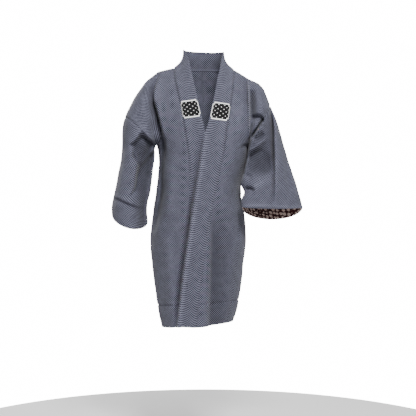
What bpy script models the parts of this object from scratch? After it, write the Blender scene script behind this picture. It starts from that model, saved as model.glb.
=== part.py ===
"""Long hanten kimono coat of fine checked cotton, hanging open-necked on its wearer.

Made as it is sewn: two body lengths that run over the shoulders and meet at the centre
back, two tube sleeves, one long band for the front edges and the collar, a lining in
the left sleeve, and two appliqued patches on the band.

Frame: +X to the wearer's left, -Y to the front, +Z up. The origin lies between the
neck points, on the shoulders that carry the coat. The tables are in millimetres and
give the middle of the cloth's thickness.
"""

from collections import namedtuple
from math import cos, pi, radians, sin

import bpy
import numpy as np

MM = 0.001

# Cloth thicknesses and clearances
CLOTH = 1.6
BAND = 3.0
LINING = 1.0
PATCH = 1.2
SEAM_GAP = 0.3
LAID_GAP = 0.4
MITRE_LIMIT = 1.5

# How finely each stretch is divided
YOKE_ROWS = 14
NECK_ROWS = 4
SKIRT_ROWS = 24
PANEL_COLUMNS = 9
BAND_COLUMNS = 3
UPPER_ARM_ROWS = 7
SLEEVE_ROWS = 14
PATCH_CELLS = 8
FOLD_STEPS = 20

# The height of the underarm, and how far a panel turns from the chest to the side
UNDERARM = -262.0
PANEL_TURN = radians(80)

# Where the two patches lie on the band, and their size
PATCH_HEIGHT = 60.0
PATCH_SHARE = 0.92
PATCH_TILT = 11.0
PATCH_CENTRE_RIGHT = -152.0
PATCH_CENTRE_LEFT = -160.0

RIGHT, LEFT = -1, 1

Point = namedtuple("Point", "x y z")
Station = namedtuple("Station", "seam_x seam_y seam_z edge_x edge_y edge_z curl")
Ring = namedtuple(
    "Ring", "outer_x outer_y outer_z inner_x inner_y inner_z front back front_drop back_drop"
)
Fold = namedtuple("Fold", "start_x start_z end_x end_z bow width depth")

# The band from the centre back round the neck and down each front edge to the hem: its
# sewn side, its free edge, and how far it curls in towards the neck between them
BAND_RIGHT = (
    Station(-3, 80, -2, -3, 68, 60, 3),
    Station(-45, 72, -3, -38, 60, 61, 5),
    Station(-81, 46, -5, -63, 36, 61, 9),
    Station(-102, 2, -5, -67, 8, 57, 11),
    Station(-100, -20, -23, -54, -14, 32, 7),
    Station(-97, -38, -46, -46, -38, -2, 3),
    Station(-92, -55, -71, -38, -58, -40, 1),
    Station(-84, -72, -105, -29, -75, -82, 0),
    Station(-75, -88, -146, -19, -90, -128, 0),
    Station(-67, -100, -190, -8, -102, -177, 0),
    Station(-60, -108, -236, 4, -111, -232, 0),
    Station(-52, -113, -283, 8, -115, -288, 0),
    Station(-45, -114, -418, 14, -115, -418, 0),
    Station(-42, -118, -581, 17, -118, -581, 0),
    Station(-40, -114, -728, 17, -111, -728, 0),
    Station(-40, -109, -862, 17, -103, -863, 0),
)
BAND_LEFT = (
    Station(-3, 80, -2, -3, 68, 60, 3),
    Station(40, 72, -4, 33, 60, 58, 5),
    Station(80, 46, -8, 61, 36, 56, 9),
    Station(102, 2, -10, 64, 8, 49, 11),
    Station(101, -20, -30, 59, -14, 25, 7),
    Station(98, -38, -56, 53, -38, -11, 3),
    Station(95, -55, -85, 45, -58, -48, 1),
    Station(90, -72, -123, 37, -75, -94, 0),
    Station(84, -88, -166, 27, -90, -142, 0),
    Station(76, -102, -212, 16, -104, -194, 0),
    Station(69, -113, -261, 3, -116, -239, 0),
    Station(64, -118, -294, -6, -121, -288, 0),
    Station(35, -121, -438, -29, -123, -438, 0),
    Station(9, -125, -584, -51, -125, -584, -1),
    Station(-11, -121, -727, -71, -118, -727, -2),
    Station(-27, -117, -867, -87, -104, -865, -3),
)
NECK_POINT = 3

# Side seams from the underarm to the hem, and the centre-back seam from the collar down
SIDE_RIGHT = (
    Point(-158, 5, -270),
    Point(-154, 5, -288),
    Point(-152, 5, -314),
    Point(-154, 5, -350),
    Point(-159, 5, -399),
    Point(-172, 4, -500),
    Point(-181, 3, -585),
    Point(-174, 2, -669),
    Point(-161, 1, -771),
    Point(-147, 0, -855),
    Point(-142, 0, -877),
)
SIDE_LEFT = (
    Point(149, 5, -273),
    Point(149, 13, -292),
    Point(146, 21, -318),
    Point(138, 27, -352),
    Point(130, 30, -382),
    Point(124, 31, -404),
    Point(123, 30, -422),
    Point(126, 27, -442),
    Point(132, 22, -470),
    Point(141, 12, -545),
    Point(142, 8, -585),
    Point(135, 4, -652),
    Point(122, 1, -754),
    Point(108, 0, -831),
    Point(98, 0, -858),
)
CENTRE_BACK = (
    Point(-3, 80, -2),
    Point(-3, 94, -60),
    Point(-3, 104, -120),
    Point(-4, 110, -200),
    Point(-8, 105, -300),
    Point(-12, 99, -400),
    Point(-16, 106, -500),
    Point(-20, 114, -585),
    Point(-21, 112, -700),
    Point(-22, 106, -868),
)

# The fold where each sleeve side leaves the body, from the shoulder down the front to
# the underarm and up the back
ARMHOLE_FRONT_RIGHT = (
    Point(-156, 5, -16),
    Point(-165, -38, -56),
    Point(-171, -58, -102),
    Point(-165, -64, -142),
    Point(-151, -68, -178),
    Point(-142, -66, -218),
    Point(-143, -46, -250),
    Point(-158, 5, -270),
)
ARMHOLE_BACK_RIGHT = (
    Point(-158, 5, -270),
    Point(-152, 42, -252),
    Point(-154, 64, -215),
    Point(-160, 72, -172),
    Point(-166, 70, -132),
    Point(-168, 60, -90),
    Point(-164, 40, -52),
    Point(-156, 5, -16),
)
ARMHOLE_FRONT_LEFT = (
    Point(152, 5, -41),
    Point(152, -38, -82),
    Point(152, -57, -128),
    Point(151, -66, -176),
    Point(150, -65, -222),
    Point(149, -46, -254),
    Point(149, 5, -273),
)
ARMHOLE_BACK_LEFT = (
    Point(149, 5, -273),
    Point(148, 42, -255),
    Point(151, 64, -222),
    Point(156, 72, -180),
    Point(160, 70, -140),
    Point(160, 58, -100),
    Point(157, 38, -66),
    Point(152, 5, -41),
)

# Rings along each arm, from the armhole to the cuff: the outer and inner ends, how far
# the cloth stands to the front and to the back, and how far the rim drops there
ARM_RIGHT = (
    Ring(-193, 4, -47, -160, 2, -264, 80, 78, 0, 0),
    Ring(-216, 2, -76, -163, 0, -264, 88, 84, 0, 0),
    Ring(-240, 0, -115, -165, -2, -270, 91, 87, 0, 0),
    Ring(-267, -3, -178, -166, -4, -280, 92, 88, -18, 0),
    Ring(-274, -4, -219, -167, -6, -300, 92, 88, -8, 0),
    Ring(-275, -6, -264, -169, -9, -325, 91, 88, 0, 0),
    Ring(-278, -10, -308, -173, -13, -355, 91, 88, 0, 0),
    Ring(-288, -15, -362, -178, -18, -396, 91, 88, 6, 2),
    Ring(-297, -20, -413, -184, -24, -433, 92, 88, 14, 3),
    Ring(-304, -24, -443, -190, -28, -458, 92, 88, 22, 4),
    Ring(-308, -27, -470, -192, -31, -488, 92, 88, 29, 5),
    Ring(-307, -30, -492, -189, -34, -525, 92, 88, 34, 5),
)
ARM_LEFT = (
    Ring(176, 4, -52, 154, 1, -267, 78, 78, 0, 0),
    Ring(196, 4, -69, 155, -8, -271, 84, 79, 0, 0),
    Ring(211, 3, -101, 150, -20, -290, 86, 76, 0, 0),
    Ring(223, 2, -132, 145, -33, -312, 85, 76, 0, 0),
    Ring(240, 0, -172, 138, -47, -338, 82, 74, 0, 0),
    Ring(257, -2, -223, 130, -61, -366, 77, 70, 0, 2),
    Ring(273, -5, -278, 122, -75, -395, 71, 66, 0, 6),
    Ring(290, -10, -335, 133, -88, -424, 64, 60, 1, 14),
    Ring(308, -16, -396, 128, -100, -446, 56, 53, 2, 24),
    Ring(321, -21, -440, 127, -108, -460, 49, 48, 4, 34),
    Ring(330, -25, -475, 128, -115, -473, 43, 43, 5, 41),
)
SLEEVE_SEAM_RING = 4

# The largest folds: a soft trough, or a ridge where its depth is positive, along a bowed
# line seen from the front or from the back
FRONT_FOLDS = (
    Fold(-160, -40, -143, -238, -15, 15, -8),
    Fold(-139, -275, -152, -500, 4, 14, -9),
    Fold(-119, -270, -124, -470, 0, 16, 4),
    Fold(-238, -262, -160, -258, 26, 15, 6),
    Fold(-232, -296, -163, -296, 18, 15, -13),
    Fold(-214, -332, -240, -455, 4, 15, -11),
    Fold(-232, -330, -262, -460, 4, 14, 4),
    Fold(153, -60, 153, -222, 0, 14, -8),
    Fold(189, -186, 150, -262, 0, 14, -11),
    Fold(191, -262, 150, -287, 0, 12, 5),
    Fold(190, -276, 142, -324, 0, 14, -8),
    Fold(218, -145, 220, -440, -11, 13, -7),
    Fold(34, -540, 30, -850, 0, 20, -5),
    Fold(84, -560, 74, -850, 3, 22, 4),
    Fold(-112, -560, -98, -860, 4, 24, 4),
)
BACK_FOLDS = (
    Fold(-160, -40, -152, -240, -10, 16, -8),
    Fold(153, -62, 150, -245, 8, 16, -8),
    Fold(-120, -180, -128, -520, -6, 18, -6),
    Fold(108, -190, 96, -500, 6, 18, -6),
    Fold(-72, -120, -78, -420, 4, 20, 4),
    Fold(62, -130, 60, -430, -4, 20, 4),
    Fold(-238, -285, -166, -290, 14, 15, -10),
    Fold(236, -240, 160, -300, 8, 15, -9),
    Fold(-226, -330, -250, -470, 6, 15, -9),
    Fold(246, -260, 262, -430, -6, 15, -8),
    Fold(-70, -560, -62, -855, 0, 22, -5),
    Fold(36, -540, 28, -850, 0, 22, -5),
)

COLOURS = {
    "cotton": ((0.155, 0.160, 0.190), 0.85),
    "band": ((0.150, 0.155, 0.185), 0.82),
    "lining": ((0.060, 0.012, 0.020), 0.80),
    "patch": ((0.008, 0.008, 0.010), 0.75),
}


def knots_of(rows):
    """Running length of a table's first three columns, which spaces its smooth curve."""
    points = np.array([row[:3] for row in rows], float)
    steps = np.linalg.norm(np.diff(points, axis=0), axis=1)
    return np.concatenate(([0.0], np.cumsum(steps)))


def through(rows, knots, at):
    """Smooth curve through rows that lie at their knots, read at the lengths given."""
    rows = np.asarray(rows, float)
    at = np.asarray(at, float)
    steps = np.diff(knots)
    shape = (-1,) + (1,) * (rows.ndim - 1)
    slopes = np.diff(rows, axis=0) / steps.reshape(shape)
    before, after = steps[:-1].reshape(shape), steps[1:].reshape(shape)
    tangents = np.empty_like(rows)
    tangents[1:-1] = (slopes[:-1] * after + slopes[1:] * before) / (before + after)
    tangents[0], tangents[-1] = slopes[0], slopes[-1]
    span = np.clip(np.searchsorted(knots, at, side="right") - 1, 0, len(steps) - 1)
    length = steps[span].reshape(shape)
    s = ((at - knots[span]) / steps[span]).reshape(shape)
    return (
        rows[span] * (2 * s**3 - 3 * s**2 + 1)
        + tangents[span] * length * (s**3 - 2 * s**2 + s)
        + rows[span + 1] * (3 * s**2 - 2 * s**3)
        + tangents[span + 1] * length * (s**3 - s**2)
    )


def along(rows, count):
    """Evenly spaced points on the smooth curve through a table of points."""
    knots = knots_of(rows)
    return through(rows, knots, np.linspace(0, knots[-1], count + 1))


def band_stations(table):
    """The band's stations: round the neck, down the yoke, and down the skirt."""
    knots = knots_of(table)
    neck = knots[NECK_POINT]
    front = slice(NECK_POINT, None)
    heights = [-row.seam_z for row in table[front]]
    underarm = np.interp(-UNDERARM, heights, knots[front])
    at = np.concatenate(
        (
            np.linspace(0, neck, NECK_ROWS + 1),
            np.linspace(neck, underarm, YOKE_ROWS + 1)[1:],
            np.linspace(underarm, knots[-1], SKIRT_ROWS + 1)[1:],
        )
    )
    return through(table, knots, at)


def band_grid(stations, side):
    """Points across the band at each station, from its sewn side to its free edge."""
    seam, edge, curl = stations[:, :3], stations[:, 3:6], stations[:, 6]
    course = np.gradient(seam, axis=0)
    course[0] = (side, 0.0, 0.0)
    outward = np.cross(course, edge - seam) * -side
    outward /= np.linalg.norm(outward, axis=1)[:, None]
    across = np.linspace(0, 1, BAND_COLUMNS + 1)
    return np.array(
        [
            seam[i] + (edge[i] - seam[i]) * t - outward[i] * curl[i] * 4 * t * (1 - t)
            for i in range(len(seam))
            for t in across
        ]
    ).reshape(len(seam), BAND_COLUMNS + 1, 3)


def panel_grid(starts, ends):
    """Rows that leave the front or back flat and turn towards the side of the body."""
    t = np.linspace(0, 1, PANEL_COLUMNS + 1)
    out = np.sin(PANEL_TURN * t) / sin(PANEL_TURN)
    deep = (1 - np.cos(PANEL_TURN * t)) / (1 - cos(PANEL_TURN))
    share = np.stack((out, deep, out), axis=1)
    return starts[:, None, :] + (ends - starts)[:, None, :] * share[None, :, :]


def ring_points(ring):
    """Points round one ring of an arm: top, front, underside and back."""
    outer = np.array(ring[:3], float)
    inner = np.array(ring[3:6], float)
    half = (outer - inner) / 2
    points = []
    for k in range(2 * YOKE_ROWS):
        turn = pi * k / YOKE_ROWS
        lift = sin(turn)
        reach = ring.front if lift > 0 else ring.back
        drop = ring.front_drop * max(lift, 0) + ring.back_drop * max(-lift, 0)
        point = (outer + inner) / 2 + half * cos(turn)
        points.append(point - np.array((0.0, reach * lift, drop)))
    return np.array(points)


def arm_grid(front, back, table):
    """Rings of the body's upper arm and of the sleeve, from the armhole to the cuff."""
    armhole = np.concatenate((along(front, YOKE_ROWS)[:-1], along(back, YOKE_ROWS)[:-1]))
    rings = np.array([armhole] + [ring_points(ring) for ring in table])
    steps = np.linalg.norm(np.diff(rings, axis=0), axis=2).mean(axis=1)
    knots = np.concatenate(([0.0], np.cumsum(steps)))
    seam = knots[SLEEVE_SEAM_RING]
    at = np.concatenate(
        (
            np.linspace(0, seam, UPPER_ARM_ROWS + 1),
            np.linspace(seam, knots[-1], SLEEVE_ROWS + 1)[1:],
        )
    )
    grid = through(rings, knots, at)
    grid[0] = armhole
    return grid


class Surface:
    """The whole coat's surface: shared points, and faces that name their piece."""

    def __init__(self):
        self.points = []
        self.index = {}
        self.faces = {}

    def add_grid(self, piece, grid, flip, closed=False):
        """Adds a grid of points as faces, and gives back the number of each point."""
        numbers = np.empty(grid.shape[:2], int)
        for i, row in enumerate(grid):
            for j, point in enumerate(row):
                key = tuple(round(float(c), 3) for c in point)
                if key not in self.index:
                    self.index[key] = len(self.points)
                    self.points.append(point)
                numbers[i, j] = self.index[key]
        rows, columns = numbers.shape
        for i in range(rows - 1):
            for j in range(columns if closed else columns - 1):
                k = (j + 1) % columns
                face = [numbers[i, j], numbers[i, k], numbers[i + 1, k], numbers[i + 1, j]]
                self.faces.setdefault(piece, []).append(face[::-1] if flip else face)
        return numbers

    def split(self, points):
        """Splits every face along its shorter diagonal, alike for all that lies on it."""
        for piece, faces in self.faces.items():
            self.faces[piece] = [part for face in faces for part in halves(face, points)]

    def facing(self, points):
        """The corners of every face, and its normal as long as its area."""
        corners = np.array([face for faces in self.faces.values() for face in faces])
        a, b, c = (points[corners[:, k]] for k in range(3))
        return corners, np.cross(b - a, c - a)

    def normals(self, points):
        """Normals shared by all the faces that meet at a point."""
        corners, area = self.facing(points)
        total = np.zeros_like(points)
        for k in range(3):
            np.add.at(total, corners[:, k], area)
        return total / np.linalg.norm(total, axis=1)[:, None]

    def mitres(self, points, normals):
        """How far past a wall's thickness each point moves, so that faces keep it."""
        corners, area = self.facing(points)
        area /= np.linalg.norm(area, axis=1)[:, None]
        lean = np.ones(len(points))
        for k in range(3):
            number = corners[:, k]
            np.minimum.at(lean, number, (normals[number] * area).sum(axis=1))
        return 1 / np.clip(lean, 1 / MITRE_LIMIT, 1)


def halves(face, points):
    """The two triangles of a four-sided face, parted along its shorter diagonal."""
    a, b, c, d = face
    if np.linalg.norm(points[a] - points[c]) < np.linalg.norm(points[b] - points[d]):
        return [a, b, c], [a, c, d]
    return [a, b, d], [b, c, d]


def fold_depth(points, folds):
    """How far the folds push points in or out, by their place seen from one side."""
    seen = points[:, [0, 2]]
    total = np.zeros(len(points))
    for fold in folds:
        start = np.array((fold.start_x, fold.start_z), float)
        end = np.array((fold.end_x, fold.end_z), float)
        course = (end - start) / np.linalg.norm(end - start)
        aside = np.array((-course[1], course[0])) * -fold.bow
        t = np.linspace(0, 1, FOLD_STEPS + 1)[:, None]
        line = start + (end - start) * t + aside * 4 * t * (1 - t)
        gaps = np.linalg.norm(seen[:, None, :] - line[None, :, :], axis=2)
        nearest = gaps.argmin(axis=1)
        fade = 1 - (2 * t[nearest, 0] - 1) ** 4
        total += fold.depth * fade * np.exp(-((gaps.min(axis=1) / fold.width) ** 2))
    return total


def creased(points, normals):
    """Moves the coat's points by the folds on the side that they face."""
    facing = -normals[:, 1]
    front = np.clip((facing - 0.05) / 0.45, 0, 1)
    back = np.clip((-facing - 0.05) / 0.45, 0, 1)
    depth = fold_depth(points, FRONT_FOLDS) * front + fold_depth(points, BACK_FOLDS) * back
    return points + normals * depth[:, None]


def drawn_in(points, normals, faces, gap):
    """Draws a piece's border in from its seams, half of the gap on each side."""
    corners = np.array(faces)
    centres = points[corners].mean(axis=1)
    pull = np.zeros_like(points)
    for k in range(3):
        np.add.at(pull, corners[:, k], centres - points[corners[:, k]])
    course = np.zeros_like(points)
    for a, b in border(faces):
        run = points[b] - points[a]
        course[a] += run / np.linalg.norm(run)
        course[b] += run / np.linalg.norm(run)
    moved = points.copy()
    for number in sorted({n for edge in border(faces) for n in edge}):
        inward = np.cross(course[number], normals[number])
        inward *= np.sign(inward.dot(pull[number])) / np.linalg.norm(inward)
        moved[number] += inward * gap
    return moved


def border(faces):
    """Edges that only one face of the piece has, each in that face's direction."""
    edges = {}
    for face in faces:
        for a, b in zip(face, face[1:] + face[:1]):
            edges[(a, b)] = edges.get((a, b), 0) + 1
    return [edge for edge in edges if (edge[1], edge[0]) not in edges]


def wall(name, points, reach, faces, thickness, material, offset=0.0):
    """Makes one piece of cloth: a closed wall round the middle surface."""
    used = sorted({n for face in faces for n in face})
    place = {n: k for k, n in enumerate(used)}
    outer = points[used] + reach[used] * (offset + thickness / 2)
    inner = points[used] + reach[used] * (offset - thickness / 2)
    count = len(used)
    shell = [[place[n] for n in face] for face in faces]
    shell += [[place[n] + count for n in reversed(face)] for face in faces]
    for a, b in border(faces):
        near, far = place[a], place[b]
        if a < b:
            shell += [[far, near, near + count], [far, near + count, far + count]]
        else:
            shell += [[far, near, far + count], [near, near + count, far + count]]
    mesh = bpy.data.meshes.new(name)
    mesh.from_pydata([tuple(p * MM) for p in np.concatenate((outer, inner))], [], shell)
    mesh.shade_smooth()
    mesh.set_sharp_from_angle(angle=radians(50))
    mesh.materials.append(material)
    piece = bpy.data.objects.new(name, mesh)
    bpy.context.collection.objects.link(piece)
    return piece


def cloth_material(name):
    """A Principled material of the piece's own colour."""
    colour, roughness = COLOURS[name]
    material = bpy.data.materials.new(name)
    material.use_nodes = True
    shader = material.node_tree.nodes["Principled BSDF"]
    shader.inputs["Base Color"].default_value = (*colour, 1.0)
    shader.inputs["Roughness"].default_value = roughness
    shader.inputs["Metallic"].default_value = 0.0
    return material


def add_side(surface, side, name, table, side_seam, front, back, arm):
    """Lays out one half of the coat, and gives back its half of the band."""
    stations = band_stations(table)
    seam = stations[:, :3]
    front_ends = np.concatenate((along(front, YOKE_ROWS), along(side_seam, SKIRT_ROWS)[1:]))
    front_panel = panel_grid(seam[NECK_ROWS:], front_ends)

    centre = np.array(CENTRE_BACK, float)
    centre_knots = knots_of(CENTRE_BACK)
    underarm = np.interp(-UNDERARM, -centre[:, 2], centre_knots)
    down = np.concatenate(
        (
            np.linspace(0, underarm, YOKE_ROWS - NECK_ROWS + 1)[1:],
            np.linspace(underarm, centre_knots[-1], SKIRT_ROWS + 1)[1:],
        )
    )
    starts = np.concatenate((seam[NECK_ROWS::-1], through(centre, centre_knots, down)))
    back_ends = np.concatenate((along(back, YOKE_ROWS)[::-1], front_ends[YOKE_ROWS + 1 :]))
    back_panel = panel_grid(starts, back_ends)

    arm_rings = arm_grid(front, back, arm)
    is_left = side == LEFT
    surface.add_grid("body_" + name, front_panel, flip=is_left)
    surface.add_grid("body_" + name, back_panel, flip=not is_left)
    surface.add_grid("body_" + name, arm_rings[: UPPER_ARM_ROWS + 1], not is_left, closed=True)
    surface.add_grid("sleeve_" + name, arm_rings[UPPER_ARM_ROWS:], not is_left, closed=True)
    return surface.add_grid("collar", band_grid(stations, side), flip=not is_left)


def patch_grid(points, normals, numbers, centre):
    """A patch's points on the band, read between the band's own points."""
    rows = np.arange(NECK_ROWS, len(numbers))
    heights = points[numbers[NECK_ROWS:]][:, :, 2]
    margin = (1 - PATCH_SHARE) / 2 * BAND_COLUMNS
    grid, facing = [], []
    for down in np.linspace(-0.5, 0.5, PATCH_CELLS + 1):
        for column in np.linspace(margin, BAND_COLUMNS - margin, PATCH_CELLS + 1):
            j = min(int(column), BAND_COLUMNS - 1)
            level = heights[:, j] + (heights[:, j + 1] - heights[:, j]) * (column - j)
            tilt = (column / BAND_COLUMNS - 0.5) * PATCH_TILT
            row = np.interp(-(centre + tilt - down * PATCH_HEIGHT), -level, rows)
            i = int(row)
            s, t = row - i, column - j
            share = ((1 - s) * (1 - t), (1 - s) * t, s * (1 - t), s * t)
            near = [numbers[i, j], numbers[i, j + 1], numbers[i + 1, j], numbers[i + 1, j + 1]]
            grid.append(sum(w * points[n] for w, n in zip(share, near)))
            facing.append(sum(w * normals[n] for w, n in zip(share, near)))
    facing = np.array(facing)
    return np.array(grid), facing / np.linalg.norm(facing, axis=1)[:, None]


def patch_faces(flip):
    """The patch's cells, with one left out at each corner, so that it is stepped."""
    cells = range(PATCH_CELLS)
    ends = (0, PATCH_CELLS - 1)
    faces = []
    for i in cells:
        for j in cells:
            if i in ends and j in ends:
                continue
            a = i * (PATCH_CELLS + 1) + j
            b = a + PATCH_CELLS + 1
            pair = [a, a + 1, b + 1], [a, b + 1, b]
            faces += [face[::-1] if flip else face for face in pair]
    return faces


def main():
    for old in list(bpy.data.objects):
        bpy.data.objects.remove(old, do_unlink=True)

    surface = Surface()
    band_numbers = {
        RIGHT: add_side(
            surface, RIGHT, "right", BAND_RIGHT, SIDE_RIGHT,
            ARMHOLE_FRONT_RIGHT, ARMHOLE_BACK_RIGHT, ARM_RIGHT,
        ),
        LEFT: add_side(
            surface, LEFT, "left", BAND_LEFT, SIDE_LEFT,
            ARMHOLE_FRONT_LEFT, ARMHOLE_BACK_LEFT, ARM_LEFT,
        ),
    }

    flat = np.array(surface.points)
    surface.split(flat)
    points = creased(flat, surface.normals(flat))
    normals = surface.normals(points)
    reach = normals * surface.mitres(points, normals)[:, None]
    materials = {name: cloth_material(name) for name in COLOURS}

    for name, faces in surface.faces.items():
        thickness = BAND if name == "collar" else CLOTH
        material = materials["band" if name == "collar" else "cotton"]
        inset = drawn_in(points, normals, faces, SEAM_GAP / 2)
        wall(name, inset, reach, faces, thickness, material)

    sleeve = surface.faces["sleeve_left"]
    inside = -(CLOTH / 2 + LAID_GAP + LINING / 2)
    trimmed = drawn_in(points, normals, sleeve, SEAM_GAP)
    wall("lining_left", trimmed, reach, sleeve, LINING, materials["lining"], inside)

    above = BAND / 2 + LAID_GAP + PATCH / 2
    for side, name, centre in (
        (RIGHT, "patch_right", PATCH_CENTRE_RIGHT),
        (LEFT, "patch_left", PATCH_CENTRE_LEFT),
    ):
        grid, facing = patch_grid(points, normals, band_numbers[side], centre)
        faces = patch_faces(flip=side == RIGHT)
        wall(name, grid, facing, faces, PATCH, materials["patch"], above)


main()
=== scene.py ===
"""Looks of a long hanten kimono coat of fine checked cotton, hanging as it is worn.

The cloth pieces are laid out from the coat's own measures in millimetres, folded and
creased along listed lines, given their thickness, and finished with woven cotton,
a printed lining and applique patches.
"""

from collections import namedtuple
from math import cos, pi, radians, sin

import bpy
import numpy as np
from mathutils import Matrix, Vector


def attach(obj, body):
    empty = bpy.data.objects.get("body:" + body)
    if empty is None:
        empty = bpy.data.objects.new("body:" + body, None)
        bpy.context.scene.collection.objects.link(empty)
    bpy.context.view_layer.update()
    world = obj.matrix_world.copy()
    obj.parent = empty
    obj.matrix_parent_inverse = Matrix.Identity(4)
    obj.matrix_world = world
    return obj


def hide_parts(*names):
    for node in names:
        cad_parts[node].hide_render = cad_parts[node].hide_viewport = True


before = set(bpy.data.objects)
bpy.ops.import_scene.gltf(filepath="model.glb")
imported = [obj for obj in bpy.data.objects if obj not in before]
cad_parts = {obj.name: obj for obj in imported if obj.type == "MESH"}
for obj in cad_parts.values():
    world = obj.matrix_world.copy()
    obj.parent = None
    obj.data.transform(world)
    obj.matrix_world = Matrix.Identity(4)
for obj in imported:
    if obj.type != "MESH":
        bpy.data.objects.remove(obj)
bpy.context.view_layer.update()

# A millimetre in metres, and how near points of a piece lie that are made one
MM = 0.001
WELD = 0.02 * MM

# The wearer's two sides along x, the underarm's height, and how far a panel turns from the
# front or back towards the side of the body
RIGHT, LEFT = -1, 1
UNDERARM = -262.0
PANEL_TURN = radians(80)

# Cloth thicknesses and clearances, in millimetres
CLOTH = 1.6
BAND = 3.0
LINING = 1.0
PATCH = 1.2
LAID_GAP = 0.4

# How finely each stretch is divided, and how evenly a panel's columns are spaced
YOKE_ROWS = 116
NECK_ROWS = 32
SKIRT_ROWS = 170
PANEL_COLUMNS = 56
BAND_COLUMNS = 16
UPPER_ARM_ROWS = 42
SLEEVE_ROWS = 120
FOLD_STEPS = 32
EVENNESS = 0.45

# Creases: the most that they go in, how squarely cloth has to face their side before they
# show and how much more until they show in full, how they are smoothed, and the depth at
# which the cloth's colour is painted in full shade or the height at which it is painted full
# highlight
DEEPEST = 60.0
FACING_START, FACING_RISE = 0.05, 0.4
SOFTENING = 2
SOFTENED_SHARE = 0.6
PAINTED_SHADE_DEPTH = 40.0
PAINTED_HIGHLIGHT_HEIGHT = 10.0

# The check's squares in metres, the height where both sides of a body length match, how
# many columns from its fold a sleeve's slant is read, and over how many rows each way it
# is averaged
SQUARE = 0.0037
GRAIN_LEVEL = -200.0
SLANT_REACH = 50
SLANT_SPREAD = 8

# How far seams and the hem dip, how broad each dip is, and how high the band crowns
SLEEVE_DIP, SLEEVE_DIP_WIDTH = 2.8, 3.0
HEM_DEPTH, HEM_DIP, HEM_DIP_WIDTH = 75.0, 3.0, 3.0
BODY_DIP_WIDTH = 2.6
BAND_DIP_WIDTH = 2.2
BAND_CROWN = 2.2

# How deep the band's seam lies at each row: faint at the neck, deep in front, faint below
SEAM_DIPS = (
    (NECK_ROWS - 6, 1.8),
    (NECK_ROWS + 6, 6.0),
    (NECK_ROWS + YOKE_ROWS - 10, 6.0),
    (NECK_ROWS + YOKE_ROWS + 30, 1.8),
)

# The patches: where they lie on the band, their stepped outline, and the raised black
# cloth on each with its rows of small lozenges cut through
PATCH_HEIGHT = 57.0
PATCH_SHARE = 0.83
PATCH_TILT = 11.0
PATCH_CENTRE = {RIGHT: -152.0, LEFT: -160.0}
PATCH_CELLS = 80
STEP_CELLS = 10
BORDER_CELLS = 5
INLAY = 0.8
LOZENGE_PITCH = 20
LOZENGE_REACH = 2.3

# The stitches: how thick the thread is, how far apart and how long they are, and how many
# cells they lie in from a patch's edge
THREAD = 0.7
HEM_PITCH, HEM_STITCH = 8.0, 3.4
PATCH_PITCH, PATCH_STITCH = 3.6, 2.4
EDGE_CELLS = 2

Point = namedtuple("Point", "x y z")
Station = namedtuple("Station", "seam_x seam_y seam_z edge_x edge_y edge_z curl")
Ring = namedtuple(
    "Ring", "outer_x outer_y outer_z inner_x inner_y inner_z front back front_drop back_drop"
)


def named(columns, *rows):
    """A table's rows, with their columns named."""
    return tuple(columns(*row) for row in rows)


# The band from the centre back round the neck and down each front edge to the hem
BAND_RIGHT = named(
    Station,
    (-3, 80, -2, -3, 68, 60, 3),
    (-45, 72, -3, -38, 60, 61, 5),
    (-81, 46, -5, -63, 36, 61, 9),
    (-102, 2, -5, -67, 8, 57, 11),
    (-100, -20, -23, -54, -14, 32, 7),
    (-97, -38, -46, -46, -38, -2, 3),
    (-92, -55, -71, -38, -58, -40, 1),
    (-84, -72, -105, -29, -75, -82, 0),
    (-75, -88, -146, -19, -90, -128, 0),
    (-67, -100, -190, -8, -102, -177, 0),
    (-60, -108, -236, 4, -111, -232, 0),
    (-52, -113, -283, 8, -115, -288, 0),
    (-45, -114, -418, 14, -115, -418, 0),
    (-42, -118, -581, 17, -118, -581, 0),
    (-40, -114, -728, 17, -111, -728, 0),
    (-40, -109, -862, 17, -103, -863, 0),
)
BAND_LEFT = named(
    Station,
    (-3, 80, -2, -3, 68, 60, 3),
    (40, 72, -4, 33, 60, 58, 5),
    (80, 46, -8, 61, 36, 56, 9),
    (102, 2, -10, 64, 8, 49, 11),
    (101, -20, -30, 59, -14, 25, 7),
    (98, -38, -56, 53, -38, -11, 3),
    (95, -55, -85, 45, -58, -48, 1),
    (90, -72, -123, 37, -75, -94, 0),
    (84, -88, -166, 27, -90, -142, 0),
    (76, -102, -212, 16, -104, -194, 0),
    (69, -113, -261, 3, -116, -239, 0),
    (64, -118, -294, -6, -121, -288, 0),
    (35, -121, -438, -29, -123, -438, 0),
    (9, -125, -584, -51, -125, -584, -1),
    (-11, -121, -727, -71, -118, -727, -2),
    (-27, -117, -867, -87, -104, -865, -3),
)
NECK_POINT = 3

# Side seams from the underarm to the hem, and the centre-back seam from the collar down
SIDE_RIGHT = named(
    Point,
    (-158, 5, -270),
    (-154, 5, -288),
    (-152, 5, -314),
    (-154, 5, -350),
    (-159, 5, -399),
    (-172, 4, -500),
    (-181, 3, -585),
    (-174, 2, -669),
    (-161, 1, -771),
    (-147, 0, -855),
    (-142, 0, -877),
)
SIDE_LEFT = named(
    Point,
    (149, 5, -273),
    (149.5, 13, -292),
    (147, 21, -318),
    (138, 27, -352),
    (130, 30, -382),
    (126, 31, -404),
    (126, 30, -422),
    (126, 27, -442),
    (132, 22, -470),
    (141, 12, -545),
    (142, 8, -585),
    (135, 4, -652),
    (122, 1, -754),
    (108, 0, -831),
    (98, 0, -858),
)
CENTRE_BACK = named(
    Point,
    (-3, 80, -2),
    (-3, 94, -60),
    (-3, 104, -120),
    (-4, 110, -200),
    (-8, 105, -300),
    (-12, 99, -400),
    (-16, 106, -500),
    (-20, 114, -585),
    (-21, 112, -700),
    (-22, 106, -868),
)

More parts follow.
